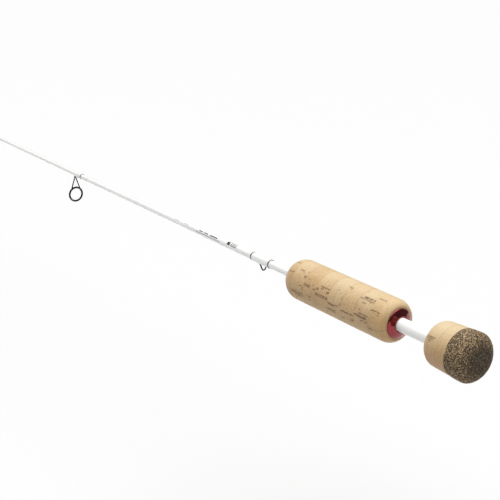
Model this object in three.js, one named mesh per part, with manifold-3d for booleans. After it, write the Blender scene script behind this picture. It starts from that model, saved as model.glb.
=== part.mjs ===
// Ice fishing rod: a one-piece white blank with a cork grip, a cork butt knob, four line
// guides and a tip top. Millimetres. The origin is the centre of the butt's flat end face,
// +X runs along the rod to the tip, +Z is up and the line guides hang below the blank.
import * as THREE from 'three';
import { mergeVertices } from 'three/addons/utils/BufferGeometryUtils.js';
import Module from 'manifold-3d';

const wasm = await Module();
wasm.setup();

// ---- driving dimensions ------------------------------------------------------------
const ROD_LENGTH = 914.4;            // 36 inches
const CORK_RING = 12.7;              // half-inch cork rings
const GLUE = 0.05;                   // glue line between neighbouring pieces
const SIDES = 32;                    // flats round the cork and the tubes
const SMALL_SIDES = 24;              // flats round wraps, bands and guide rings
const WIRE_SIDES = 8;
const SWELL_SIDES = 16;
const CAP_ROUND_STEPS = 9;
const GRIP_FRONT_STEPS = 7;
const SMALL_ROUND_STEPS = 6;         // the grip's rear end and the knob's front end
const SAME_POINT = 1e-4;             // corners closer than this are one corner

const CAP_LENGTH = 14.7;             // dark rubberised cork cap
const CAP_RADIUS = 15.15;
const CAP_ROUND = { length: 6.55, depth: 8.95, power: 1.53 };
const CAP_EASED_FROM = 12.5;         // the cap is sanded down from here to its seam
const CAP_EASED_RADIUS = 15.05;
const CAP_SEAM_RADIUS = 14.65;
const CAP_BORE_DEPTH = 8.2;

const KNOB_RINGS = [7.1, CORK_RING]; // light cork of the knob, from the cap forwards
const KNOB_REAR_RADIUS = 14.7;
const KNOB_FRONT_RADIUS = 13.7;
const KNOB_ROUND = { length: 5.8, depth: 4.95, power: 1.87 };

const SLEEVE_RADIUS = 4.43;          // white tube between knob and grip
const SLEEVE_BORE = 3.25;

const GRIP_START = 66.8;
const GRIP_RINGS = 8;
const GRIP_RADIUS = 13.9;
const GRIP_REAR_ROUND = { length: 6.4, depth: 3.7, power: 1.8 };
const GRIP_FRONT_ROUND = { length: 10.5, depth: 8.5, power: 1.72 };
const RINGS_ON_SLEEVE = 4;           // the sleeve ends half way through the grip

// Red winding check: a flange against the grip's rear end, tapering down to the sleeve,
// with a spigot let into the cork.
const CHECK_RADIUS = 9.5;
const CHECK_SPIGOT = { radius: 6.2, depth: 2.0 };
const CHECK_TAPER = [                // position along the rod, radius
  [66.3, CHECK_RADIUS],
  [66.1, 9.3],
  [66.1, 9.05],
  [66.0, 9.2],
  [65.4, 8.2],
  [64.8, 6.8],
  [64.3, 5.5],
  [64.2, 5.3],
];

const BLANK_START = 8.4;
const BLANK_END = 909.0;
const BLANK_TAPER = [                // position along the rod, radius
  [BLANK_START, 3.1],
  [180, 2.93],
  [499, 2.0],
  [660, 1.75],
  [BLANK_END, 1.05],
];

const THREAD = 0.28;                 // thread wrap and its clear finish, over the blank
const WRAP_CHAMFER = { length: 0.6, depth: 0.15 };
const BAND_WIDTH = 1.0;              // metallic trim bands
const BAND_PROUD = 0.06;             // how far a band stands over its wrap
const BAND_GAP = 0.1;
const CUT_PAST = 1;                  // a wrap's bore is cut this far past both its ends

// Hook keeper: where its wrap starts and ends, wire radius and how far the loop hangs
// below the blank's axis.
const KEEPER = { start: 197.1, end: 216.6, wire: 0.5, drop: 7.3 };
const KEEPER_PATH = [                // position along the rod, share of the way down
  [209.9, 0],
  [209.2, 0.05],
  [208.65, 0.19],
  [207.8, 0.5],
  [206.5, 0.9],
  [205.3, 1],
  [203.6, 0.75],
  [202.9, 0.5],
  [202.35, 0.1],
  [201.8, 0],
];
const KEEPER_STEPS = 30;
const KEEPER_FOOT_WIDTH = 1.2;
const KEEPER_FEET = [[198.2, 202.4], [215.0, 209.4]]; // thin end, loop end
const KEEPER_SWELLS = [[197.8, 201.6], [210.2, 215.5]];

// Line guides, butt to tip: ring plane, ring outer radius, how far the ring's centre hangs
// below the blank's axis, wire radius, wall of the smooth inner ring, foot length and
// width, and how far in front of the ring plane the legs leave the foot.
const GUIDES = [
  { x: 499, ring: 7.12, drop: 19.2, wire: 0.52, wall: 0.62, foot: 12.2, width: 1.8, reach: 1.2 },
  { x: 694, ring: 4.8, drop: 12.2, wire: 0.44, wall: 0.5, foot: 10.2, width: 1.5, reach: 0.8 },
  { x: 796, ring: 3.8, drop: 9.2, wire: 0.4, wall: 0.45, foot: 8.8, width: 1.3, reach: 0.65 },
  { x: 866, ring: 3.1, drop: 7.2, wire: 0.36, wall: 0.4, foot: 7.8, width: 1.2, reach: 0.5 },
];
const FOOT_THICKNESS = 0.5;
const FOOT_TAIL_THICKNESS = 0.2;
const FOOT_TAIL_LENGTH = 4;          // the foot thins over this length
const FOOT_NOSE = 0.2;               // the foot stops this far behind the legs' bend
const WRAP_LEAD = 0.1;               // the wrap starts this far before the foot
const WRAP_SHORT = 1.6;              // and stops this far before the ring plane
const SWELL_LEAD = 0.3;              // the finish swells from here on in the wrap
const SWELL_SIDE = 0.7;              // finish beside a wrapped foot
const SWELL_UNDER = 0.3;             // finish under a wrapped foot
const LEG_SPREAD = THREE.MathUtils.degToRad(38);
const LEG_STEPS = 10;
const LEG_BEND = [                   // distance behind the bend, and below the foot
  [1.1, 0],
  [0.15, 0.25],
  [0, 1.3],
];
const RING_HALF_WIDTH = 0.55;
const RING_EDGE = 0.1;               // how much the inner ring's outer edges are eased

const TIP = { ring: 2.8, wire: 0.34, wall: 0.42, drop: 3.3, tubeStart: 899, tubeEnd: 909.6 };
const TIP_TUBE_WALL = 0.3;
const TIP_WRAP = 6.5;
const TIP_BRACE = { start: 902, end: 908.6, bow: 0.15, half: 0.25, spread: 0.97, join: 0.8 };

// ---- finishes ----------------------------------------------------------------------
const FINISH = {
  white: { color: 0xf3f4f2, roughness: 0.18, metalness: 0 },
  cork: { color: 0xd2ab7c, roughness: 0.75, metalness: 0 },
  burl: { color: 0x54442f, roughness: 0.8, metalness: 0 },
  red: { color: 0xa8202c, roughness: 0.25, metalness: 0.9 },
  black: { color: 0x17181a, roughness: 0.35, metalness: 0.7 },
  ring: { color: 0x101113, roughness: 0.15, metalness: 0.1 },
  thread: { color: 0xe9ebe8, roughness: 0.2, metalness: 0 },
  bronze: { color: 0x4d382c, roughness: 0.3, metalness: 0.8 },
};

const rod = new THREE.Group();

function add(name, geometry, finish) {
  const mesh = new THREE.Mesh(geometry, new THREE.MeshStandardMaterial(FINISH[finish]));
  mesh.name = name;
  rod.add(mesh);
}

// ---- shared shapes -----------------------------------------------------------------
// A piece turned about the rod's axis, from [position along the rod, radius] points.
function turned(profile, sides = SIDES) {
  const points = profile.map(([x, r]) => new THREE.Vector2(r, x));
  return facingOut(new THREE.LatheGeometry(points, sides).rotateZ(-Math.PI / 2));
}

// A turned piece with a bore: outer profile, then straight back along the bore.
function bored(outer, bore, sides = SIDES) {
  const first = outer[0];
  const last = outer[outer.length - 1];
  return turned([...outer, [last[0], bore], [first[0], bore], first], sides);
}

function tube(start, end, radius, bore, sides = SIDES) {
  return bored([[start, radius], [end, radius]], bore, sides);
}

// Points from a rounded end's full radius to its end plane, along a superellipse.
function roundedEnd(fullAt, endAt, radius, round, steps) {
  return Array.from({ length: steps + 1 }, (_, i) => {
    const u = Math.sin((i / steps) * Math.PI / 2);
    const left = (1 - u ** round.power) ** (1 / round.power);
    return [fullAt + (endAt - fullAt) * u, radius - round.depth * (1 - left)];
  });
}

// A round wire along a path.
function wireAlong(points, radius, steps) {
  const outline = new THREE.Shape();
  outline.absarc(0, 0, radius, 0, 2 * Math.PI);
  const path = new THREE.CatmullRomCurve3(points.map((p) => new THREE.Vector3(...p)));
  const options = { steps, curveSegments: WIRE_SIDES / 2, bevelEnabled: false, extrudePath: path };
  return facingOut(new THREE.ExtrudeGeometry(outline, options));
}

function volumeOf(geometry) {
  const p = geometry.attributes.position;
  const index = geometry.index;
  const count = index ? index.count : p.count;
  const [a, b, c] = [new THREE.Vector3(), new THREE.Vector3(), new THREE.Vector3()];
  let sum = 0;
  for (let i = 0; i < count; i += 3) {
    const [i0, i1, i2] = [i, i + 1, i + 2].map((k) => (index ? index.getX(k) : k));
    a.fromBufferAttribute(p, i0);
    b.fromBufferAttribute(p, i1);
    c.fromBufferAttribute(p, i2);
    sum += a.dot(b.cross(c)) / 6;
  }
  return sum;
}

// The same surface with merged corners and its faces pointing out.
function facingOut(geometry) {
  geometry.deleteAttribute('normal');
  geometry.deleteAttribute('uv');
  const merged = mergeVertices(geometry, SAME_POINT);
  if (volumeOf(merged) < 0) {
    const index = merged.index;
    for (let i = 0; i < index.count; i += 3) {
      const second = index.getX(i + 1);
      index.setX(i + 1, index.getX(i + 2));
      index.setX(i + 2, second);
    }
  }
  return merged;
}

function solid(geometry) {
  const g = facingOut(geometry);
  const vertProperties = new Float32Array(g.attributes.position.array);
  const triVerts = new Uint32Array(g.index.array);
  return new wasm.Manifold(new wasm.Mesh({ numProp: 3, vertProperties, triVerts }));
}

function geometryOf(manifold) {
  const mesh = manifold.getMesh();
  const geometry = new THREE.BufferGeometry();
  const positions = new THREE.BufferAttribute(new Float32Array(mesh.vertProperties), 3);
  geometry.setAttribute('position', positions);
  geometry.setIndex(new THREE.BufferAttribute(new Uint32Array(mesh.triVerts), 1));
  return geometry;
}

// A rod-wise cylinder whose axis is below the rod's axis.
function lowCylinder(start, end, radius, below) {
  const geometry = new THREE.CylinderGeometry(radius, radius, end - start, SWELL_SIDES);
  return geometry.rotateZ(-Math.PI / 2).translate((start + end) / 2, 0, -below);
}

// ---- blank, sleeve and cork --------------------------------------------------------
function blankRadius(x) {
  for (let i = 1; i < BLANK_TAPER.length; i += 1) {
    const [x0, r0] = BLANK_TAPER[i - 1];
    const [x1, r1] = BLANK_TAPER[i];
    if (x <= x1) return r0 + ((r1 - r0) * (x - x0)) / (x1 - x0);
  }
  return BLANK_TAPER[BLANK_TAPER.length - 1][1];
}

function makeBlank() {
  const profile = [[BLANK_START, 0], ...BLANK_TAPER, [BLANK_END, 0]];
  add('blank', turned(profile), 'white');
}

function makeSleeve() {
  const end = GRIP_START + RINGS_ON_SLEEVE * CORK_RING - GLUE;
  add('butt_sleeve', tube(BLANK_START, end, SLEEVE_RADIUS, SLEEVE_BORE), 'white');
}

function makeButtCap() {
  const bore = SLEEVE_RADIUS + GLUE;
  const shoulder = roundedEnd(CAP_ROUND.length, 0, CAP_RADIUS, CAP_ROUND, CAP_ROUND_STEPS);
  const profile = [
    [0, 0],
    ...shoulder.reverse(),
    [CAP_EASED_FROM, CAP_EASED_RADIUS],
    [CAP_LENGTH - GLUE, CAP_SEAM_RADIUS],
    [CAP_LENGTH - GLUE, bore],
    [CAP_BORE_DEPTH, bore],
    [CAP_BORE_DEPTH, 0],
  ];
  add('butt_cap', turned(profile), 'burl');
}

function makeKnobRings() {
  const bore = SLEEVE_RADIUS + GLUE;
  const length = KNOB_RINGS[0] + KNOB_RINGS[1];
  const seam = CAP_LENGTH + KNOB_RINGS[0];
  const front = CAP_LENGTH + length;
  const share = KNOB_RINGS[0] / length;
  const seamRadius = KNOB_REAR_RADIUS + (KNOB_FRONT_RADIUS - KNOB_REAR_RADIUS) * share;
  const rear = [[CAP_LENGTH, KNOB_REAR_RADIUS], [seam - GLUE, seamRadius]];
  const fullAt = front - KNOB_ROUND.length;
  const nose = roundedEnd(fullAt, front, KNOB_FRONT_RADIUS, KNOB_ROUND, SMALL_ROUND_STEPS);
  add('knob_cork_1', bored(rear, bore), 'cork');
  add('knob_cork_2', bored([[seam, seamRadius], ...nose], bore), 'cork');
}

// Eight cork rings. The first is counterbored for the winding check's spigot.
function makeGrip() {
  for (let i = 0; i < GRIP_RINGS; i += 1) {
    const start = GRIP_START + i * CORK_RING;
    const end = start + CORK_RING - (i < GRIP_RINGS - 1 ? GLUE : 0);
    const onSleeve = i < RINGS_ON_SLEEVE;
    const bore = (onSleeve ? SLEEVE_RADIUS : blankRadius(start)) + GLUE;
    const name = `grip_cork_${i + 1}`;
    if (i === 0) {
      const fullAt = start + GRIP_REAR_ROUND.length;
      const rear = roundedEnd(fullAt, start, GRIP_RADIUS, GRIP_REAR_ROUND, SMALL_ROUND_STEPS);
      const seat = CHECK_SPIGOT.radius + GLUE;
      const floor = start + CHECK_SPIGOT.depth;
      const outer = [...rear.reverse(), [end, GRIP_RADIUS]];
      const inner = [[end, bore], [floor, bore], [floor, seat], [start, seat], outer[0]];
      add(name, turned([...outer, ...inner]), 'cork');
    } else if (i === GRIP_RINGS - 1) {
      const fullAt = end - GRIP_FRONT_ROUND.length;
      const nose = roundedEnd(fullAt, end, GRIP_RADIUS, GRIP_FRONT_ROUND, GRIP_FRONT_STEPS);
      add(name, bored([[start, GRIP_RADIUS], ...nose], bore), 'cork');
    } else {
      add(name, tube(start, end, GRIP_RADIUS, bore), 'cork');
    }
  }
}

function makeWindingCheck() {
  const bore = SLEEVE_RADIUS + GLUE;
  const face = GRIP_START - GLUE;
  const spigotEnd = GRIP_START + CHECK_SPIGOT.depth - GLUE;
  const smallEnd = CHECK_TAPER[CHECK_TAPER.length - 1][0];
  const profile = [
    [face, CHECK_RADIUS],
    ...CHECK_TAPER,
    [smallEnd, bore],
    [spigotEnd, bore],
    [spigotEnd, CHECK_SPIGOT.radius],
    [face, CHECK_SPIGOT.radius],
    [face, CHECK_RADIUS],
  ];
  add('winding_check', turned(profile), 'red');
}

// ---- wraps, trim bands and the hook keeper -----------------------------------------
function makeBand(name, start) {
  const radius = blankRadius(start) + THREAD + BAND_PROUD;
  const bore = blankRadius(start) + GLUE;
  add(name, tube(start, start + BAND_WIDTH, radius, bore, SMALL_SIDES), 'bronze');
}

// A thread wrap with chamfered ends. It swells over what it ties down and is cut back
// from it.
function makeWrap(name, start, end, swells, tiedDown) {
  const radius = blankRadius(start) + THREAD;
  const bore = blankRadius(start) + GLUE;
  const { length, depth } = WRAP_CHAMFER;
  const outer = [
    [start, radius - depth],
    [start + length, radius],
    [end - length, radius],
    [end, radius - depth],
  ];
  const [from, to] = [start - CUT_PAST, end + CUT_PAST];
  const core = [[from, 0], [from, bore], [to, bore], [to, 0]];
  let body = solid(turned([[start, 0], ...outer, [end, 0]], SMALL_SIDES));
  for (const swell of swells) body = body.add(solid(swell));
  body = body.subtract(solid(turned(core, SMALL_SIDES)));
  for (const piece of tiedDown) body = body.subtract(solid(piece));
  add(name, geometryOf(body), 'thread');
}

// A flat ground foot under the blank, whichever way its thin end points.
function keeperFoot([thin, loop], top, extra = 0) {
  const way = Math.sign(loop - thin);
  return footShape(way * thin, way * loop, top, KEEPER_FOOT_WIDTH, extra).scale(way, 1, 1);
}

// A wire loop with a ground foot at each end, lying along the blank under the wrap.
function makeHookKeeper() {
  const { start, end, wire, drop } = KEEPER;
  const top = -(blankRadius(start) + GLUE);
  const rest = wire - top;
  const hang = drop - wire - rest;
  const path = KEEPER_PATH.map(([x, share]) => [x, 0, -rest - hang * share]);
  let keeper = solid(wireAlong(path, wire, KEEPER_STEPS));
  for (const foot of KEEPER_FEET) keeper = keeper.add(solid(keeperFoot(foot, top)));
  add('hook_keeper', geometryOf(keeper), 'black');

  const swellRadius = KEEPER_FOOT_WIDTH / 2 + SWELL_SIDE;
  const below = -top + FOOT_THICKNESS + SWELL_UNDER - swellRadius;
  const swells = KEEPER_SWELLS.map(([a, b]) => lowCylinder(a, b, swellRadius, below));
  const cleared = [
    wireAlong(path, wire + GLUE, KEEPER_STEPS),
    ...KEEPER_FEET.map((foot) => keeperFoot(foot, top, GLUE)),
  ];
  makeWrap('keeper_wrap', start, end, swells, cleared);
  makeBand('keeper_band_rear', start - BAND_GAP - BAND_WIDTH);
  makeBand('keeper_band_front', end + BAND_GAP);
}

// ---- line guides -------------------------------------------------------------------
// A flat foot that thins towards its end, under the blank, from tail to nose.
function footShape(tail, nose, top, width, extra = 0) {
  const outline = new THREE.Shape();
  outline.moveTo(tail - extra, top + extra);
  outline.lineTo(nose + extra, top + extra);
  outline.lineTo(nose + extra, top - FOOT_THICKNESS - extra);
  outline.lineTo(tail + FOOT_TAIL_LENGTH, top - FOOT_THICKNESS - extra);
  outline.lineTo(tail - extra, top - FOOT_TAIL_THICKNESS - extra);
  outline.closePath();
  const depth = width + 2 * extra;
  const geometry = new THREE.ExtrudeGeometry(outline, { depth, bevelEnabled: false });
  return geometry.rotateX(Math.PI / 2).translate(0, depth / 2, 0);
}

function wireRing(x, radius, wire, below) {
  const torus = new THREE.TorusGeometry(radius - wire, wire, WIRE_SIDES, SMALL_SIDES);
  return torus.rotateY(Math.PI / 2).translate(x, 0, -below);
}

// The smooth inner ring, with eased edges, held in the wire ring.
function insertRing(x, outer, wall, below) {
  const wide = RING_HALF_WIDTH;
  const inner = outer - wall;
  const profile = [
    [-wide, outer - RING_EDGE],
    [-wide / 2, outer],
    [wide / 2, outer],
    [wide, outer - RING_EDGE],
    [wide / 2, inner],
    [-wide / 2, inner],
    [-wide, outer - RING_EDGE],
  ];
  return turned(profile, SMALL_SIDES).translate(x, 0, -below);
}

function makeGuide(guide, number) {
  const { x, ring, drop, wire, wall, foot, width, reach } = guide;
  const name = `guide_${number}`;
  const tail = x - foot;
  const bend = x + reach;
  const top = -(blankRadius(tail) + GLUE);
  const middle = top - FOOT_THICKNESS / 2;
  let frame = solid(wireRing(x, ring, wire, drop));
  frame = frame.add(solid(footShape(tail, bend - FOOT_NOSE, top, width)));
  for (const side of [-1, 1]) {
    const rootY = side * (width / 2 - wire);
    const joinY = side * (ring - wire) * Math.sin(LEG_SPREAD);
    const joinZ = -drop + (ring - wire) * Math.cos(LEG_SPREAD);
    const leg = LEG_BEND.map(([behind, below]) => [bend - behind, rootY, middle - below]);
    leg.push([x, joinY, joinZ]);
    frame = frame.add(solid(wireAlong(leg, wire, LEG_STEPS)));
  }
  add(`${name}_frame`, geometryOf(frame), 'black');
  add(`${name}_ring`, insertRing(x, ring - 2 * wire - GLUE, wall, drop), 'ring');

  const wrapStart = tail - WRAP_LEAD;
  const wrapEnd = x - WRAP_SHORT;
  const swellRadius = width / 2 + SWELL_SIDE;
  const swellBelow = -top + FOOT_THICKNESS + SWELL_UNDER - swellRadius;
  const swell = lowCylinder(wrapStart + SWELL_LEAD, wrapEnd, swellRadius, swellBelow);
  const cleared = footShape(tail, x, top, width, GLUE);
  makeWrap(`${name}_wrap`, wrapStart, wrapEnd, [swell], [cleared]);
  makeBand(`${name}_band`, wrapStart - BAND_GAP - BAND_WIDTH);
}

// ---- tip top -----------------------------------------------------------------------
function makeTipTop() {
  const { ring, wire, wall, drop, tubeStart, tubeEnd } = TIP;
  const bore = blankRadius(tubeStart) + GLUE;
  const outside = bore + TIP_TUBE_WALL;
  add('tip_top_tube', tube(tubeStart, tubeEnd, outside, bore, SMALL_SIDES), 'black');

  const ringPlane = ROD_LENGTH - RING_HALF_WIDTH;
  const along = outside + wire + GLUE;
  let frame = solid(wireRing(ringPlane, ring, wire, drop));
  for (const side of [-1, 1]) {
    const brace = [
      [TIP_BRACE.start, side * along, 0],
      [TIP_BRACE.end, side * along, 0],
      [(tubeEnd + ringPlane) / 2, side * (along + TIP_BRACE.bow), -drop * TIP_BRACE.half],
      [ringPlane, side * (ring - wire) * TIP_BRACE.spread, -drop * TIP_BRACE.join],
    ];
    frame = frame.add(solid(wireAlong(brace, wire, LEG_STEPS)));
  }
  add('tip_top_frame', geometryOf(frame), 'black');
  const insert = insertRing(ringPlane, ring - 2 * wire - GLUE, wall, drop);
  add('tip_top_ring', insert, 'ring');
  makeWrap('tip_top_wrap', tubeStart - BAND_GAP - TIP_WRAP, tubeStart - BAND_GAP, [], []);
}

makeBlank();
makeSleeve();
makeButtCap();
makeKnobRings();
makeWindingCheck();
makeGrip();
makeHookKeeper();
GUIDES.forEach((guide, i) => makeGuide(guide, i + 1));
makeTipTop();

export default rod;
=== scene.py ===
# Ice fishing rod: the looks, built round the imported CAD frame. Metres; +X runs from the
# butt to the tip, +Z is up and the guides hang below the blank. Sizes that are written as
# numbers are in millimetres and go through MM.
import math
import random
import bpy
import numpy as np
from mathutils import Matrix, Vector, noise


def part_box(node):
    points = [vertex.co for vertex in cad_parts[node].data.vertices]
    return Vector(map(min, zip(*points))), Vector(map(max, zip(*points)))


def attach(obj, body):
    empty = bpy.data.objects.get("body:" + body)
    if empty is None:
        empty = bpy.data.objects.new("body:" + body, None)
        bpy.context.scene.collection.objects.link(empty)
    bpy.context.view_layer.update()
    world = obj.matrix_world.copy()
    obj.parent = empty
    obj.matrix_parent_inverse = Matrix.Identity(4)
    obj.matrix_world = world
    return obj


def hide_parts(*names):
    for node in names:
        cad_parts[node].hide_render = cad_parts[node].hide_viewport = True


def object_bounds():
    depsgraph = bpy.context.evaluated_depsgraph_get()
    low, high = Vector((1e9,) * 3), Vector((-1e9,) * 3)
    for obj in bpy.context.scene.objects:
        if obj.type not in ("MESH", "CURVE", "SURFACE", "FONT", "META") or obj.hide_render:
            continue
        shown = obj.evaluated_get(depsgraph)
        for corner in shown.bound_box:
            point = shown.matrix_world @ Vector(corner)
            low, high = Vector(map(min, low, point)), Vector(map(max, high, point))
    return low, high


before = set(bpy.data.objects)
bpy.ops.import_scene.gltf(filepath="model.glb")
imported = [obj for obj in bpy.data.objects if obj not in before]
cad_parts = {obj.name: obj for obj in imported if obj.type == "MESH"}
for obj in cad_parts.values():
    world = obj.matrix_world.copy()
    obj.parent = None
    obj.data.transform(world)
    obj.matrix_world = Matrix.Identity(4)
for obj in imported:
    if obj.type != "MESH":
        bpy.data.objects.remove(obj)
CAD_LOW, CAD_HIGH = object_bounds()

MM = 0.001
BODY = "root"
TAU = 2 * math.pi
GLUE = 0.05 * MM                     # the gap that stands in for glue between neighbours
WRAP_GAP = 0.02 * MM                 # between the blank and what is wound round it
SAME_PLACE = 1e-6
GUIDE_NUMBERS = (1, 2, 3, 4)

# ---- camera, floor and light -------------------------------------------------------
CAMERA_PLACE = Vector((-0.3674, 0.4232, 0.2264))
CAMERA_TARGET = Vector((0.2235, -0.0010, 0.00274))
CAMERA_ROLL = math.radians(2.36)
CAMERA_LENS = 77.07
CAMERA_SENSOR = 36
FLOOR_DROP = 160 * MM
FLOOR_SIZE = 40.0
FLOOR_GREY = 0.50
FLOOR_ROUGHNESS = 0.9
SKY_BRIGHT = 5.95
SKY_DIM = 0.19
LIGHT_EDGE = 0.6                     # cosine from straight up where the soft light begins
LIGHT_FULL = 0.95


# ---- measures taken from the frame -------------------------------------------------
def span(node):
    """Where a node starts and ends along the rod."""
    low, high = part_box(node)
    return low[0], high[0]


def width_radius(node):
    low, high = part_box(node)
    return (high[1] - low[1]) / 2


def ring_centre(node):
    """Where a line ring stands along the rod, and how far its middle is below the axis."""
    low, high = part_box(node)
    return (low[0] + high[0]) / 2, -(low[2] + high[2]) / 2


def smooth(t):
    """A soft step from 0 to 1."""
    t = np.clip(t, 0.0, 1.0)
    return t * t * (3 - 2 * t)


THREAD = 0.28 * MM                   # how far a wrap stands above the blank
BAND_OVER_BLANK = 0.34 * MM


def blank_stations():
    """Position and radius of the blank at its butt and under its bands and tip wrap."""
    found = [(span("blank")[0], width_radius("blank"))]
    for band in ("keeper_band_rear", *(f"guide_{n}_band" for n in GUIDE_NUMBERS)):
        found.append((span(band)[0], width_radius(band) - BAND_OVER_BLANK))
    found.append((span("tip_top_wrap")[0], width_radius("tip_top_wrap") - THREAD))
    return found


BLANK_STATIONS = blank_stations()
STATION_X = [x for x, _ in BLANK_STATIONS]
STATION_R = [r for _, r in BLANK_STATIONS]
TIP_TAPER = (STATION_R[-1] - STATION_R[-2]) / (STATION_X[-1] - STATION_X[-2])


def blank_radius(x):
    beyond = max(0.0, x - STATION_X[-1])
    return float(np.interp(x, STATION_X, STATION_R)) + beyond * TIP_TAPER


# ---- mesh building -----------------------------------------------------------------
def place(name, mesh, material, node):
    """Shows a finished mesh instead of one CAD node."""
    mesh.materials.clear()
    mesh.materials.append(material)
    mesh.polygons.foreach_set("use_smooth", [True] * len(mesh.polygons))
    obj = bpy.data.objects.new(name, mesh)
    bpy.context.scene.collection.objects.link(obj)
    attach(obj, BODY)
    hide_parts(node)
    return obj


def make_object(name, verts, faces, material, node):
    mesh = bpy.data.meshes.new(name)
    mesh.from_pydata(verts, [], faces)
    mesh.validate()
    mesh.update()
    return place(name, mesh, material, node)


def turned_mesh(rows, around, closed_loop):
    """Vertices and faces of a turned skin. A row is (x, radius) or (x, array of radii); a
    row of radius 0 at either end is one point on the axis."""
    angles = np.arange(around) * TAU / around
    verts, index = [], []
    for x, r in rows:
        if np.isscalar(r) and r == 0:
            index.append([len(verts)])
            verts.append((x, 0.0, 0.0))
            continue
        radii = np.broadcast_to(r, (around,))
        index.append(list(range(len(verts), len(verts) + around)))
        y, z = radii * np.sin(angles), radii * np.cos(angles)
        verts.extend(zip(np.broadcast_to(x, (around,)).tolist(), y.tolist(), z.tolist()))
    faces = []
    pairs = list(zip(index, index[1:]))
    if closed_loop:
        pairs.append((index[-1], index[0]))
    for a, b in pairs:
        for i in range(around):
            j = (i + 1) % around
            if len(a) == 1:
                faces.append((a[0], b[j], b[i]))
            elif len(b) == 1:
                faces.append((a[i], a[j], b[0]))
            else:
                faces.append((a[i], a[j], b[j], b[i]))
    return verts, faces


def turned(name, rows, around, material, node, closed_loop=False):
    verts, faces = turned_mesh(rows, around, closed_loop)
    return make_object(name, verts, faces, material, node)


def rounded_profile(points, radius, steps=4):
    """A polyline of (x, r) corners with each inner corner rounded by a small arc."""
    out = [points[0]]
    for before, corner, after in zip(points, points[1:], points[2:]):
        c = np.array(corner)
        a, b = np.array(before) - c, np.array(after) - c
        la, lb = np.linalg.norm(a), np.linalg.norm(b)
        cut = min(radius, la * 0.45, lb * 0.45)
        p, q = c + a / la * cut, c + b / lb * cut
        for k in range(steps + 1):
            t = k / steps
            out.append(tuple((1 - t) ** 2 * p + 2 * t * (1 - t) * c + t * t * q))
    out.append(points[-1])
    return out


def end_round(u, depth, power):
    """How far a rounded end has come in at u, from 0 at full radius to 1 at the end."""
    return depth * (1 - (1 - u**power) ** (1 / power))


# ---- node materials ----------------------------------------------------------------
GRANULES = 1.8                       # pressed cork granules in a millimetre of the cap
THREAD_PITCH = 0.18
PRINT_EDGE = 0.15                    # softness of a printed bar's ends


def new_material(name):
    material = bpy.data.materials.new(name)
    material.use_nodes = True
    nodes = material.node_tree.nodes
    nodes.clear()
    output = nodes.new("ShaderNodeOutputMaterial")
    shader = nodes.new("ShaderNodeBsdfPrincipled")
    material.node_tree.links.new(shader.outputs["BSDF"], output.inputs["Surface"])
    return material, material.node_tree, shader


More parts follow.
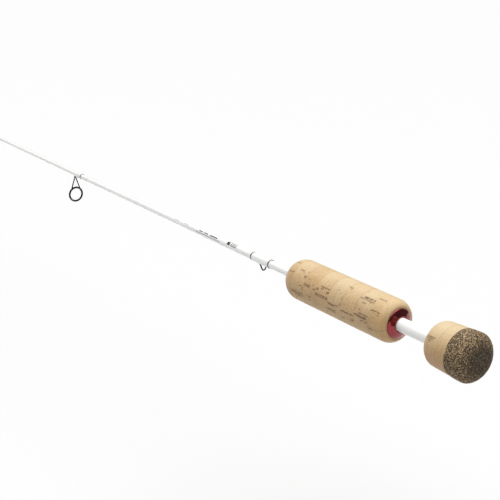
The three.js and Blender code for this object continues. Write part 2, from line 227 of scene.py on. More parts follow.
class Graph:
    """Short ways to add nodes to one material."""

    def __init__(self, tree):
        self.tree = tree
        self.coordinates = tree.nodes.new("ShaderNodeTexCoord").outputs["Object"]

    def link(self, source, target):
        if hasattr(source, "is_output"):
            self.tree.links.new(source, target)
        else:
            target.default_value = source

    def math(self, operation, a, b=0.0, clamp=False):
        node = self.tree.nodes.new("ShaderNodeMath")
        node.operation = operation
        node.use_clamp = clamp
        for socket, value in zip(node.inputs, (a, b)):
            self.link(value, socket)
        return node.outputs[0]

    def scaled(self, scale):
        """Object coordinates in millimetres, times a scale for each axis."""
        node = self.tree.nodes.new("ShaderNodeMapping")
        self.link(self.coordinates, node.inputs["Vector"])
        node.inputs["Scale"].default_value = [s / MM for s in scale]
        return node.outputs[0]

    def noise(self, scale, detail=3.0, roughness=0.55, distortion=0.0):
        node = self.tree.nodes.new("ShaderNodeTexNoise")
        self.link(self.scaled(scale), node.inputs["Vector"])
        node.inputs["Scale"].default_value = 1.0
        node.inputs["Detail"].default_value = detail
        node.inputs["Roughness"].default_value = roughness
        node.inputs["Distortion"].default_value = distortion
        return node.outputs["Fac"]

    def cells(self, scale, output="Distance", feature="F1"):
        node = self.tree.nodes.new("ShaderNodeTexVoronoi")
        node.feature = feature
        self.link(self.scaled(scale), node.inputs["Vector"])
        node.inputs["Scale"].default_value = 1.0
        return node.outputs[output]

    def ramp(self, value, stops):
        """A colour ramp. A stop is (position, grey level) or (position, colour)."""
        node = self.tree.nodes.new("ShaderNodeValToRGB")
        elements = node.color_ramp.elements
        while len(elements) < len(stops):
            elements.new(0.5)
        for element, (position, colour) in zip(elements, stops):
            element.position = position
            if not isinstance(colour, tuple):
                colour = (colour,) * 3
            element.color = (*colour, 1.0)
        self.link(value, node.inputs["Fac"])
        return node.outputs["Color"]

    def mix(self, share, a, b):
        node = self.tree.nodes.new("ShaderNodeMix")
        node.data_type = "RGBA"
        self.link(share, node.inputs["Factor"])
        for key, value in (("A", a), ("B", b)):
            socket = [s for s in node.inputs if s.name == key and s.type == "RGBA"][0]
            self.link((*value, 1.0) if isinstance(value, tuple) else value, socket)
        return [s for s in node.outputs if s.type == "RGBA"][0]

    def attribute(self, name):
        node = self.tree.nodes.new("ShaderNodeAttribute")
        node.attribute_name = name
        return node.outputs["Fac"]

    def bump(self, height, distance, strength, normal=None):
        node = self.tree.nodes.new("ShaderNodeBump")
        node.inputs["Strength"].default_value = strength
        node.inputs["Distance"].default_value = distance
        self.link(height, node.inputs["Height"])
        if normal:
            self.link(normal, node.inputs["Normal"])
        return node.outputs["Normal"]

    def separate(self, vector):
        node = self.tree.nodes.new("ShaderNodeSeparateXYZ")
        self.link(vector, node.inputs[0])
        return node.outputs

    def radius(self):
        """Distance from the rod's axis, in millimetres."""
        _, y, z = self.separate(self.scaled((1, 1, 1)))
        squares = [self.math("MULTIPLY", side, side) for side in (y, z)]
        return self.math("SQRT", self.math("ADD", *squares))

    def angle(self):
        """Angle from straight up, turning towards +Y, in degrees."""
        _, y, z = self.separate(self.scaled((1, 1, 1)))
        return self.math("MULTIPLY", self.math("ARCTAN2", y, z), 180 / math.pi)

    def between(self, value, low, high, soft):
        """1 from low to high and 0 outside, with soft edges."""
        rise = self.math("DIVIDE", self.math("SUBTRACT", value, low), soft, clamp=True)
        fall = self.math("DIVIDE", self.math("SUBTRACT", high, value), soft, clamp=True)
        return self.math("MULTIPLY", rise, fall)


def cork_material():
    material, tree, shader = new_material("natural_cork")
    g = Graph(tree)
    broad = g.noise((0.09, 0.09, 0.09), detail=2)
    base = g.ramp(broad, [(0.3, (0.425, 0.268, 0.110)), (0.7, (0.50, 0.321, 0.140))])
    grain = g.noise((1.1, 1.1, 1.1), detail=5, roughness=0.7)
    base = g.mix(g.ramp(grain, [(0.38, 0.75), (0.58, 0.0)]), base, (0.29, 0.172, 0.074))
    layers = g.noise((2.6, 0.05, 0.05), detail=3, roughness=0.6, distortion=0.3)
    base = g.mix(g.ramp(layers, [(0.48, 0.0), (0.66, 0.38)]), base, (0.56, 0.42, 0.225))
    base = g.mix(g.ramp(layers, [(0.32, 0.28), (0.46, 0.0)]), base, (0.31, 0.195, 0.105))
    tone = g.attribute("ring_tone_and_top_highlight")
    darker = g.math("MULTIPLY", tone, 1.0, clamp=True)
    # paler ring tones, plus a painted highlight that pales the top of each ring
    paler_tone_and_top_highlight = g.math("MULTIPLY", tone, -1.0, clamp=True)
    base = g.mix(darker, base, (0.38, 0.215, 0.100))
    base = g.mix(paler_tone_and_top_highlight, base, (0.50, 0.420, 0.270))
    specks = g.ramp(g.cells((0.9, 1.2, 1.2)), [(0.06, 1.0), (0.15, 0.0)])
    speck_share = g.math("MULTIPLY", specks, g.ramp(grain, [(0.45, 0.0), (0.6, 0.8)]))
    base = g.mix(speck_share, base, (0.19, 0.105, 0.05))
    halo = g.attribute("stain")
    base = g.mix(g.math("MULTIPLY", halo, 0.40, clamp=True), base, (0.27, 0.155, 0.072))
    mark = g.attribute("lenticel")
    crumbs = g.noise((1.6, 1.6, 1.6), detail=4, roughness=0.7)
    inside = g.ramp(crumbs, [(0.35, (0.045, 0.023, 0.010)), (0.65, (0.140, 0.078, 0.034))])
    base = g.mix(g.math("MULTIPLY", mark, 0.95, clamp=True), base, inside)
    g.link(base, shader.inputs["Base Color"])
    g.link(g.ramp(grain, [(0.3, 0.82), (0.7, 0.62)]), shader.inputs["Roughness"])
    fine = g.bump(g.noise((3.2, 3.2, 3.2), detail=4, roughness=0.7), 0.06 * MM, 0.7)
    g.link(g.bump(layers, 0.05 * MM, 0.5, fine), shader.inputs["Normal"])
    shader.inputs["Specular IOR Level"].default_value = 0.5
    shader.inputs["Sheen Weight"].default_value = 0.22
    shader.inputs["Sheen Roughness"].default_value = 0.5
    return material


def burl_material():
    material, tree, shader = new_material("burl_cork")
    g = Graph(tree)
    warp = g.noise((0.8, 0.8, 0.8), detail=3)
    granules = (GRANULES,) * 3
    shade = g.separate(g.cells(granules, "Color"))[0]
    base = g.ramp(shade, [
        (0.0, (0.022, 0.014, 0.008)),
        (0.28, (0.057, 0.035, 0.017)),
        (0.52, (0.126, 0.081, 0.041)),
        (0.74, (0.240, 0.160, 0.082)),
        (0.90, (0.415, 0.293, 0.158)),
        (1.0, (0.580, 0.450, 0.280)),
    ])
    edge = g.cells(granules, "Distance", "DISTANCE_TO_EDGE")
    base = g.mix(g.ramp(edge, [(0.02, 0.75), (0.10, 0.0)]), base, (0.022, 0.018, 0.015))
    small = g.separate(g.cells((3.2, 3.2, 3.2), "Color"))[1]
    base = g.mix(g.ramp(small, [(0.86, 0.0), (0.93, 0.85)]), base, (0.50, 0.37, 0.22))
    base = g.mix(g.ramp(small, [(0.06, 0.7), (0.16, 0.0)]), base, (0.016, 0.014, 0.013))
    base = g.mix(g.ramp(warp, [(0.35, 0.30), (0.60, 0.0)]), base, (0.040, 0.038, 0.037))
    # painted shade: darkens the cap's rear end face, which faces away from the light, fading out
    # along the shoulder
    x = g.separate(g.scaled((1, 1, 1)))[0]
    painted_face_shade = g.math("DIVIDE", g.math("ADD", x, g.math("MULTIPLY", warp, 2.5)), 8.0, clamp=True)
    base = g.mix(g.ramp(painted_face_shade, [(0.12, 0.78), (0.52, 0.0)]), base, (0.026, 0.021, 0.017))
    g.link(base, shader.inputs["Base Color"])
    g.link(g.ramp(shade, [(0.0, 0.55), (1.0, 0.85)]), shader.inputs["Roughness"])
    fine = g.bump(g.noise((2.6, 2.6, 2.6), detail=4, roughness=0.7), 0.05 * MM, 0.6)
    g.link(g.bump(edge, 0.07 * MM, 0.5, fine), shader.inputs["Normal"])
    shader.inputs["Specular IOR Level"].default_value = 0.12
    return material


def white_material(with_marks):
    material, tree, shader = new_material("white_blank_printed" if with_marks else "white_gloss")
    g = Graph(tree)
    drift = g.noise((0.02, 0.3, 0.3), detail=2)
    base = g.ramp(drift, [(0.3, (0.70, 0.707, 0.69)), (0.7, (0.745, 0.75, 0.735))])
    if with_marks:
        x = g.separate(g.scaled((1, 1, 1)))[0]
        angle = g.angle()
        for start, end, low, high, shade, soft in PRINTED_MARKS:
            mask = g.math(
                "MULTIPLY",
                g.between(x, start, end, PRINT_EDGE),
                g.between(angle, low, high, soft),
            )
            base = g.mix(mask, base, shade)
    g.link(base, shader.inputs["Base Color"])
    ripple = g.noise((0.35, 0.6, 0.6), detail=2)
    g.link(g.ramp(ripple, [(0.3, 0.10), (0.7, 0.17)]), shader.inputs["Roughness"])
    g.link(g.bump(ripple, 0.02 * MM, 0.35), shader.inputs["Normal"])
    shader.inputs["Coat Weight"].default_value = 0.6
    shader.inputs["Coat Roughness"].default_value = 0.06
    return material


def red_material():
    material, tree, shader = new_material("red_anodised")
    g = Graph(tree)
    turning = g.math("MULTIPLY", g.radius(), 9.0)
    wobble = g.math("MULTIPLY", g.noise((0.6, 0.6, 0.6)), 6.0)
    lines = g.math("SINE", g.math("ADD", turning, wobble))
    cloud = g.noise((0.25, 0.25, 0.25), detail=3)
    base = g.ramp(cloud, [(0.3, (0.20, 0.013, 0.020)), (0.7, (0.28, 0.022, 0.030))])
    g.link(base, shader.inputs["Base Color"])
    g.link(g.ramp(cloud, [(0.3, 0.08), (0.7, 0.15)]), shader.inputs["Roughness"])
    g.link(g.bump(lines, 0.006 * MM, 0.35), shader.inputs["Normal"])
    shader.inputs["Metallic"].default_value = 1.0
    shader.inputs["Coat Weight"].default_value = 0.8
    shader.inputs["Coat Roughness"].default_value = 0.05
    return material


def black_material():
    material, tree, shader = new_material("black_plated_wire")
    g = Graph(tree)
    wear = g.noise((1.4, 1.4, 1.4), detail=4, roughness=0.7)
    base = g.ramp(wear, [(0.40, (0.005, 0.005, 0.006)), (0.80, (0.018, 0.018, 0.020))])
    g.link(base, shader.inputs["Base Color"])
    g.link(g.ramp(wear, [(0.3, 0.26), (0.7, 0.42)]), shader.inputs["Roughness"])
    g.link(g.bump(wear, 0.01 * MM, 0.4), shader.inputs["Normal"])
    shader.inputs["Metallic"].default_value = 0.2
    shader.inputs["Specular IOR Level"].default_value = 0.2
    return material


def ring_material():
    material, tree, shader = new_material("black_ceramic")
    g = Graph(tree)
    cloud = g.noise((0.9, 0.9, 0.9), detail=2)
    base = g.ramp(cloud, [(0.3, (0.004, 0.004, 0.005)), (0.7, (0.008, 0.008, 0.009))])
    g.link(base, shader.inputs["Base Color"])
    g.link(g.ramp(cloud, [(0.3, 0.07), (0.7, 0.13)]), shader.inputs["Roughness"])
    g.link(g.bump(cloud, 0.004 * MM, 0.3), shader.inputs["Normal"])
    shader.inputs["Specular IOR Level"].default_value = 0.18
    return material


def thread_material(name, dark, light, metallic):
    """Thread laid side by side under a clear gloss finish."""
    material, tree, shader = new_material(name)
    g = Graph(tree)
    x = g.separate(g.scaled((1, 1, 1)))[0]
    turn = g.math("DIVIDE", g.angle(), 360.0)
    turns = g.math("ADD", g.math("DIVIDE", x, THREAD_PITCH), turn)
    lay = g.math("SINE", g.math("MULTIPLY", turns, TAU))
    drift = g.noise((1.5, 0.6, 0.6), detail=3)
    base = g.ramp(drift, [(0.3, light), (0.7, tuple(c * 0.9 for c in light))])
    base = g.mix(g.ramp(lay, [(0.0, 0.6), (0.5, 0.0)]), base, dark)
    base = g.mix(g.ramp(drift, [(0.35, 0.5), (0.6, 0.0)]), base, dark)
    g.link(base, shader.inputs["Base Color"])
    g.link(g.ramp(drift, [(0.3, 0.25), (0.7, 0.40)]), shader.inputs["Roughness"])
    g.link(g.bump(lay, 0.02 * MM, 0.5), shader.inputs["Normal"])
    shader.inputs["Metallic"].default_value = metallic
    shader.inputs["Coat Weight"].default_value = 1.0
    shader.inputs["Coat Roughness"].default_value = 0.05
    return material


# Plain printed bars on the blank: start and end along the rod in millimetres, low and
# high angle in degrees, colour, edge softness in degrees.
INK = (0.045, 0.045, 0.05)
GREY_INK = (0.12, 0.123, 0.12)
PALE_INK = (0.42, 0.43, 0.42)
PRINTED_MARKS = [
    (244.6, 248.2, 12, 74, INK, 4),
    (236.2, 243.8, 10, 26, GREY_INK, 4),
    (236.2, 243.8, 33, 49, GREY_INK, 4),
    (236.2, 243.8, 56, 74, GREY_INK, 4),
    (257.2, 290.2, 78, 91, INK, 4),
    (261.0, 271.0, 40, 62, INK, 4),
    (273.5, 279.0, 40, 62, GREY_INK, 4),
    (281.0, 286.0, 40, 62, GREY_INK, 4),
    (301.0, 308.0, 40, 58, PALE_INK, 6),
    (315.0, 322.0, 40, 58, PALE_INK, 6),
]

CORK = cork_material()
BURL = burl_material()
WHITE = white_material(False)
WHITE_PRINTED = white_material(True)
RED = red_material()
BLACK = black_material()
CERAMIC = ring_material()
WHITE_THREAD = thread_material("white_thread", (0.66, 0.68, 0.66), (0.84, 0.85, 0.84), 0.0)
BRONZE_THREAD = thread_material("bronze_thread", (0.045, 0.025, 0.018), (0.14, 0.075, 0.05), 0.5)


# ---- blank and sleeve --------------------------------------------------------------
SLEEVE_WALL = 1.15 * MM
SLEEVE_EDGE = 0.3 * MM


def build_blank():
    start, end = span("blank")
    xs = np.linspace(start, end, 240)
    rows = [(start, 0)] + [(x, blank_radius(x)) for x in xs] + [(end, 0)]
    turned("blank_tapered", rows, 48, WHITE_PRINTED, "blank")


def build_sleeve():
    start, end = span("butt_sleeve")
    radius = width_radius("butt_sleeve")
    bore = radius - SLEEVE_WALL
    corners = [(start, bore), (start, radius), (end, radius), (end, bore)]
    outer = rounded_profile(corners, SLEEVE_EDGE)
    body = [(x, radius) for x in np.linspace(start, end, 60)[1:-1]]
    half = len(outer) // 2
    rows = outer[:half] + body + outer[half:]
    turned("sleeve_tube", rows, 64, WHITE, "butt_sleeve", closed_loop=True)


# ---- cork --------------------------------------------------------------------------
AROUND = 420
CORK_STEP = 0.3 * MM
OUTLINED_FROM = 0.75                 # wider lenticels show as an outline, in millimetres
SEAM_STAIN = 0.7
SEAM_DEPTH = 0.09 * MM
EDGE_ROUND = 0.12 * MM
STEEP_STEP = 0.4 * MM                # a jump in radius above this gets extra stations
FINE_STEP = 0.25 * MM
LENTICEL_DEPTH = 0.42 * MM
GRAIN_HEIGHT = 0.045 * MM
GRAIN_SCALE = 0.9

# A lenticel's dark line: four sizes in millimetres, the noise level that breaks the line,
# and how quickly it reaches full depth.
LINE_HALF = 0.19
LINE_RAGGED = 0.09
LINE_WANDER = 0.35
LINE_TAPER = 0.45
LINE_BREAK = -0.34
LINE_CRISPNESS = 3.6

# Lenticels listed one by one: ring, angle in degrees, start and end from the ring's rear
# face in millimetres, width in millimetres.
GRIP_MARKS = [
    (1, 60, 4.8, 12.0, 0.6), (1, 108, 7.2, 12.3, 0.6), (1, 22, 6.5, 12.2, 0.4),
    (2, 36, 0.1, 9.6, 0.8), (2, 41.5, 0.2, 12.2, 0.7), (2, 80.5, 0.3, 8.2, 0.5),
    (2, 88, 1.4, 12.5, 1.0), (2, 97, 0.2, 6.4, 0.5), (2, 52, 6.0, 8.5, 0.4),
    (3, 94.5, 0.8, 3.8, 0.7), (3, 110, 0.8, 3.4, 0.7), (3, 95, 5.3, 9.8, 0.6),
    (3, 28, 10.0, 12.6, 0.6), (3, 95.5, 10.4, 12.6, 0.5), (3, 116, 9.6, 12.0, 0.6),
    (4, 90, 3.0, 5.6, 0.6), (4, 92.5, 6.2, 12.4, 0.8), (4, 108, 5.0, 12.5, 1.3),
    (4, 66, 0.0, 0.8, 1.4), (4, 82, 0.0, 0.9, 1.2),
    (5, 58.5, 0.2, 9.0, 0.6), (5, 68, 0.4, 2.6, 0.9), (5, 68.5, 10.4, 12.5, 0.9),
    (5, 84, 0.4, 12.6, 1.2), (5, 63, 6.0, 8.5, 0.35),
    (6, 75, 0.7, 3.2, 0.7), (6, 73, 6.2, 12.0, 1.1), (6, 100, 4.0, 6.5, 0.5),
    (7, 54.5, 0.0, 2.0, 1.1), (7, 85, 0.0, 0.9, 1.2), (7, 104.5, 0.2, 12.2, 1.3),
    (7, 112, 2.0, 8.5, 0.6), (7, 40, 5.0, 9.0, 0.35),
    (8, 55, 0.1, 6.2, 0.7), (8, 22, 1.0, 5.5, 0.5), (8, 118, 0.5, 6.0, 0.6),
]
# How much darker (above 0) or paler (below 0) each ring is than plain cork.
RING_TONES = [0.02, -0.14, -0.04, -0.16, -0.05, 0.14, -0.06, 0.08]
KNOB_TONES = [-0.16, -0.26]
GRIP_RINGS = len(RING_TONES)
NEAR_END = 0.1 * MM
# Broad tones round a ring: angle and half width in degrees, then how dark or pale. The top one is
# a painted highlight that pales the upper side of each ring; the knob's one makes its lower side
# darker.
# painted highlight: the upper side of every cork ring is made paler, as if lit from above
TOP_PAINTED_HIGHLIGHT = (12, 44, -0.36)
KNOB_TONE = (122, 36, 1.0)
KNOB_MARKS = [
    (2, 58, 3.2, 9.2, 0.45), (2, 62.5, 4.0, 8.6, 0.4), (2, 67, 5.0, 7.4, 0.4),
]
CLEAR_SIDE = (-20, 135)


def random_marks(seed, length, most):
    """Lenticels for the part of a ring that has none listed."""
    rng = random.Random(seed)
    low, high = CLEAR_SIDE
    marks = []
    for _ in range(rng.randint(most - 3, most)):
        angle = rng.uniform(high, 360 + low)
        start = rng.uniform(0.0, length * 0.55)
        end = min(length - 0.1, start + rng.uniform(2.0, length))
        width = rng.uniform(0.4, 1.3)
        marks.append((angle, start, end, width))
        if rng.random() < 0.35:
            marks.append((angle + rng.uniform(4, 8), start, end * 0.9, width * 0.7))
    return marks


def pits(seed, count, length):
    rng = random.Random(seed)
    return [
        (rng.uniform(0, 360), rng.uniform(0.3, length - 0.3), rng.uniform(0.25, 0.55))
        for _ in range(count)
    ]


def ragged(x, arc, seed, scale):
    """Smooth noise from -1 to 1 that roughens the edge of a lenticel."""
    return noise.noise(Vector((x * scale, arc * scale, seed * 7.31)))


def turn_from(angles, middle):
    """Signed angles from the middle, from -180 to 180 degrees."""
    return (angles - middle + 180) % 360 - 180


def mark_fields(xs, angles, radius, marks, holes, seed):
    """Lenticel depth and stain on a grid of positions (mm) by angles (degrees)."""
    depth = np.zeros((len(xs), len(angles)))
    stain = np.zeros_like(depth)
    grid_x = np.array(xs)[:, None]
    arc_mm = math.radians(1) * radius
    for k, (angle, start, end, width) in enumerate(marks):
        arc = turn_from(angles, angle) * arc_mm
        near = np.abs(arc) < width * 1.6 + 0.6
        if not near.any():
            continue
        for i, x in enumerate(xs):
            if x < start - 1.0 or x > end + 1.0:
                continue
            for j in np.nonzero(near)[0]:
                rough = ragged(x, arc[j], seed + k, 1.3)
                wander = LINE_WANDER * ragged(x, 0.0, seed + k + 0.5, 0.45)
                off_line = abs(arc[j] - wander)
                if width > OUTLINED_FROM:
                    off_line = abs(off_line - width * 0.4)
                across = off_line / (LINE_HALF + LINE_RAGGED * rough)
                along = max(start - x, x - end) / LINE_TAPER + 0.5 * rough
                inside = 1 - max(across, along + 0.5)
                if ragged(x, arc[j], seed + k + 0.8, 0.75) < LINE_BREAK:
                    inside -= 0.7
                depth[i, j] = max(depth[i, j], min(1.0, max(0.0, inside * LINE_CRISPNESS)))
                far = max(abs(arc[j] - wander) / (width + 0.5), along * 0.6 + 0.4)
                stain[i, j] = max(stain[i, j], min(1.0, max(0.0, 1.2 - far)))
    for angle, x, size in holes:
        distance = np.hypot(turn_from(angles, angle) * arc_mm, grid_x - x) / size
        depth = np.maximum(depth, np.clip(1.25 - distance, 0, 1) * 0.85)
        stain = np.maximum(stain, np.clip(1.4 - distance * 0.7, 0, 1) * 0.6)
    return depth, stain


def grain_noise(x, angle, radius, seed):
    """The cork's fine unevenness at a place on its skin; x and radius in millimetres."""
    turn = math.radians(angle)
    y = math.sin(turn) * radius * GRAIN_SCALE
    z = math.cos(turn) * radius * GRAIN_SCALE + seed
    return noise.noise(Vector((x * GRAIN_SCALE, y, z)))


def cork_ring(name, node, profile, bore, marks, holes, tone, seed, tone_patches_and_highlight=(TOP_PAINTED_HIGHLIGHT,)):
    """One turned cork ring: a fine outer skin with lenticels and pits cut into it, plain
    end faces and a plain bore. The profile is (x, radius) along the outside."""
    first, last = profile[0], profile[-1]
    angles = np.degrees(np.arange(AROUND) * TAU / AROUND)
    radius = max(r for _, r in profile) / MM
    xs = [(x - first[0]) / MM for x, _ in profile]
    depth, stain = mark_fields(xs, angles, radius, marks, holes, seed)
    rows, values = [], []
    for i, (x, r) in enumerate(profile):
        grain = np.array([grain_noise(x / MM, a, radius, seed) for a in angles])
        rows.append((x, r - depth[i] * LENTICEL_DEPTH + (grain - 0.3) * GRAIN_HEIGHT))
        at_seam = min(x - first[0], last[0] - x) < EDGE_ROUND
        values.append((depth[i], np.maximum(stain[i], SEAM_STAIN if at_seam else 0.0)))
    plain = (np.zeros(AROUND), np.zeros(AROUND))
    tail = [(last[0], last[1] + (bore - last[1]) * t) for t in (0.1, 0.5, 1.0)]
    head = [(first[0], first[1] + (bore - first[1]) * t) for t in (1.0, 0.5, 0.1)]
    values = [plain] * len(head) + values + [plain] * len(tail)
    rows = head + rows + tail
    obj = turned(name, rows, AROUND, CORK, node, closed_loop=True)
    paint(obj, "lenticel", np.concatenate([v[0] for v in values]))
    paint(obj, "stain", np.concatenate([v[1] for v in values]))
    tones = np.full(AROUND, tone)
    # the top patch paints a highlight on each ring's upper side; the knob patch darkens its lower
    # side
    for middle, half, amount in tone_patches_and_highlight:
        tones = tones + amount * np.exp(-((turn_from(angles, middle) / half) ** 2))
    paint(obj, "ring_tone_and_top_highlight", np.tile(tones, len(rows)))
    return obj


def paint(obj, name, values):
    layer = obj.data.attributes.new(name, "FLOAT", "POINT")
    layer.data.foreach_set("value", np.asarray(values, dtype=np.float32))


def stations(start, end):
    """Positions along a ring, with closer ones at its rounded edges."""
    steps = int((end - start) / CORK_STEP) + 1
    inner = np.linspace(start + EDGE_ROUND, end - EDGE_ROUND, steps)
    close = EDGE_ROUND * 0.35
    return [start, start + close, *inner, end - close, end]


def seam_edge(x, start, end):
    """How far the sanded edge at each end of a ring falls below the surface."""
    near = min(x - start, end - x)
    if near >= EDGE_ROUND:
        return 0.0
    u = 1 - near / EDGE_ROUND
    return SEAM_DEPTH * u * u


GRIP_REAR = {"length": 6.4 * MM, "depth": 3.7 * MM, "power": 1.8}
GRIP_FRONT = {"length": 10.5 * MM, "depth": 8.5 * MM, "power": 1.72}
SPIGOT_RADIUS = 6.2 * MM


def grip_radius(x, start, end, full):
    if x < start + GRIP_REAR["length"]:
        u = (start + GRIP_REAR["length"] - x) / GRIP_REAR["length"]
        return full - end_round(min(u, 1.0), GRIP_REAR["depth"], GRIP_REAR["power"])
    if x > end - GRIP_FRONT["length"]:
        u = (x - end + GRIP_FRONT["length"]) / GRIP_FRONT["length"]
        return full - end_round(min(u, 1.0), GRIP_FRONT["depth"], GRIP_FRONT["power"])
    return full


def fine_ends(profile, radius_at):
    """Extra stations where a rounded end runs steeply into its end face."""
    out = []
    for (x0, r0), (x1, r1) in zip(profile, profile[1:]):
        out.append((x0, r0))
        if abs(r1 - r0) > STEEP_STEP:
            parts = int(abs(r1 - r0) / FINE_STEP) + 1
            for k in range(1, parts):
                x = x0 + (x1 - x0) * k / parts
                out.append((x, radius_at(x)))
    out.append(profile[-1])
    return out


def ring_profile(x0, x1, radius_at, start, end):
    """The outside of one ring. Its edges are sanded down at the seams, which lie between
    start and end, and not at the grip's own ends."""
    low, high = start + NEAR_END, end - NEAR_END
    profile = []
    for x in stations(x0, x1):
        drop = seam_edge(x, x0, x1) if low < x < high else 0
        profile.append((x, radius_at(x) - drop))
    return fine_ends(profile, radius_at)


def build_grip():
    start = span("grip_cork_1")[0]
    end = span(f"grip_cork_{GRIP_RINGS}")[1]
    full = width_radius("grip_cork_4")
    sleeve_end = span("butt_sleeve")[1]

    def radius_at(x):
        return grip_radius(x, start, end, full)

    for ring in range(1, GRIP_RINGS + 1):
        node = f"grip_cork_{ring}"
        x0, x1 = span(node)
        profile = ring_profile(x0, x1, radius_at, start, end)
        if ring == 1:
            bore = SPIGOT_RADIUS + GLUE
        elif x0 < sleeve_end:
            bore = width_radius("butt_sleeve") + GLUE
        else:
            bore = blank_radius(x0) + GLUE
        length = (x1 - x0) / MM
        marks = [m[1:] for m in GRIP_MARKS if m[0] == ring]
        marks += random_marks(100 + ring, length, 8)
        holes = pits(200 + ring, 14, length)
        tone = RING_TONES[ring - 1]
        cork_ring(f"grip_ring_{ring}", node, profile, bore, marks, holes, tone, ring)


KNOB_ROUND = {"length": 5.8 * MM, "depth": 4.95 * MM, "power": 1.87}
KNOB_FRONT_RADIUS = 13.7 * MM


def build_knob():
    rear = span("knob_cork_1")[0]
    front = span("knob_cork_2")[1]
    rear_radius = width_radius("knob_cork_1")
    bore = width_radius("butt_sleeve") + GLUE

    def radius_at(x):
        r = rear_radius + (KNOB_FRONT_RADIUS - rear_radius) * (x - rear) / (front - rear)
        into = x - (front - KNOB_ROUND["length"])
        if into > 0:
            u = min(into / KNOB_ROUND["length"], 1.0)
            r -= end_round(u, KNOB_ROUND["depth"], KNOB_ROUND["power"])
        return r

    for number, tone in enumerate(KNOB_TONES, 1):
        node = f"knob_cork_{number}"
        x0, x1 = span(node)
        profile = ring_profile(x0, x1, radius_at, -math.inf, front)
        length = (x1 - x0) / MM
        marks = [m[1:] for m in KNOB_MARKS if m[0] == number]
        marks += random_marks(300 + number, length, 4)
        holes = pits(400 + number, 5, length)
        tone_patches_and_highlight = (TOP_PAINTED_HIGHLIGHT, KNOB_TONE)
        name = f"knob_ring_{number}"
        cork_ring(name, node, profile, bore, marks, holes, tone, 40 + number, tone_patches_and_highlight)


CAP_AROUND = 260
CAP_CENTRE = 0.6 * MM                # radius of the innermost row on the flat face
CAP_FACE = 6.2 * MM
CAP_POWER = 1.53
CAP_SHOULDER = 6.55 * MM
CAP_SEAM_RADIUS = 14.65 * MM
CAP_EDGE = 0.08 * MM
CAP_DENT = 0.06 * MM
CAP_BORE_FLOOR = 8.2 * MM


def build_cap():
    start, end = span("butt_cap")
    full = width_radius("butt_cap")
    edge = start + CAP_SHOULDER

    def radius_at(x):
        if x < edge:
            u = 1 - (x - start) / CAP_SHOULDER
            return full - end_round(min(u, 1.0), full - CAP_FACE, CAP_POWER)
        late = (x - start - CAP_SHOULDER) / (end - start - CAP_SHOULDER)
        return full - (full - CAP_SEAM_RADIUS) * late**3

    turns = np.linspace(0, math.pi / 2, 60)[1:]
    shoulder = [start + CAP_SHOULDER * (1 - math.cos(t)) for t in turns]
    side = np.linspace(edge, end - EDGE_ROUND, 20)[1:]
    outline = [(start, r) for r in np.linspace(CAP_CENTRE, CAP_FACE, 22)]
    outline += [(x, radius_at(x)) for x in (*shoulder, *side)]
    outline.append((end, CAP_SEAM_RADIUS - CAP_EDGE))
    angles = np.arange(CAP_AROUND) * TAU / CAP_AROUND
    rows = [(start, 0)]
    for x, r in outline:
        grain = np.array([
            granule(x / MM, r / MM * math.sin(a), r / MM * math.cos(a)) for a in angles
        ])
        dent = np.abs(grain * CAP_DENT)
        if x <= start + SAME_PLACE:
            rows.append((x + dent, np.full(CAP_AROUND, r)))
        else:
            rows.append((x, r - dent))
    bore = width_radius("butt_sleeve") + GLUE
    floor = start + CAP_BORE_FLOOR
    rows += [(end, bore), (floor, bore), (floor, 0)]
    turned("butt_cap_burl", rows, CAP_AROUND, BURL, "butt_cap")


def granule(x, y, z):
    """Pressed granules: each one stands a little high or low, with a dip between them."""
    here = Vector((x, y, z)) * GRANULES
    distances, points = noise.voronoi(here)
    level = noise.cell(points[0] * 3.7)
    gap = distances[1] - distances[0]
    return (0.35 + 0.65 * abs(level)) * (0.4 + 0.6 * math.exp(-gap * 9))


# ---- winding check -----------------------------------------------------------------
# The tapered side, from the small end to the flange: distance from the small end, radius.
CHECK_SIDE = [
    (0.0, 5.3), (0.1, 5.5), (0.6, 6.8), (1.2, 8.2), (1.8, 9.2), (1.9, 9.05), (1.9, 9.3),
    (2.1, 9.5),
]
CHECK_EDGE = 0.25 * MM


def build_check():
    back, front = span("winding_check")
    radius = width_radius("winding_check")
    sleeve = width_radius("butt_sleeve") + GLUE
    face = span("grip_cork_1")[0] - GLUE
    side = [(back + x * MM, r * MM) for x, r in CHECK_SIDE]
    corners = [(back, sleeve)] + side
    corners += [(face, radius), (face, SPIGOT_RADIUS), (front, SPIGOT_RADIUS), (front, sleeve)]
    rows = rounded_profile(corners, CHECK_EDGE)
    turned("winding_check_red", rows, 128, RED, "winding_check", True)


# ---- thread wraps and trim bands ---------------------------------------------------
WRAP_END = 1.1 * MM                  # how long a wrap's thin end is
WRAP_END_DROP = 0.17 * MM
SWELL_TAIL = 2.2 * MM
SWELL_NOSE = 0.8 * MM
BAND_CROWN = 0.10 * MM


def swollen_radius(x, angle, start, end, base, swells):
    """Radius of a wrap under its finish: thin at both ends and higher over a foot."""
    ends = min((x - start) / WRAP_END, (end - x) / WRAP_END, 1.0)
    r = base - WRAP_END_DROP * (1 - math.sqrt(max(0.0, ends * (2 - ends))))
    down = abs(angle - math.pi)
    for tail, nose, height, half_angle in swells:
        rise = smooth((x - tail) / SWELL_TAIL) * smooth((nose - x) / SWELL_NOSE)
        r += height * rise * math.exp(-((down / half_angle) ** 2))
    return r


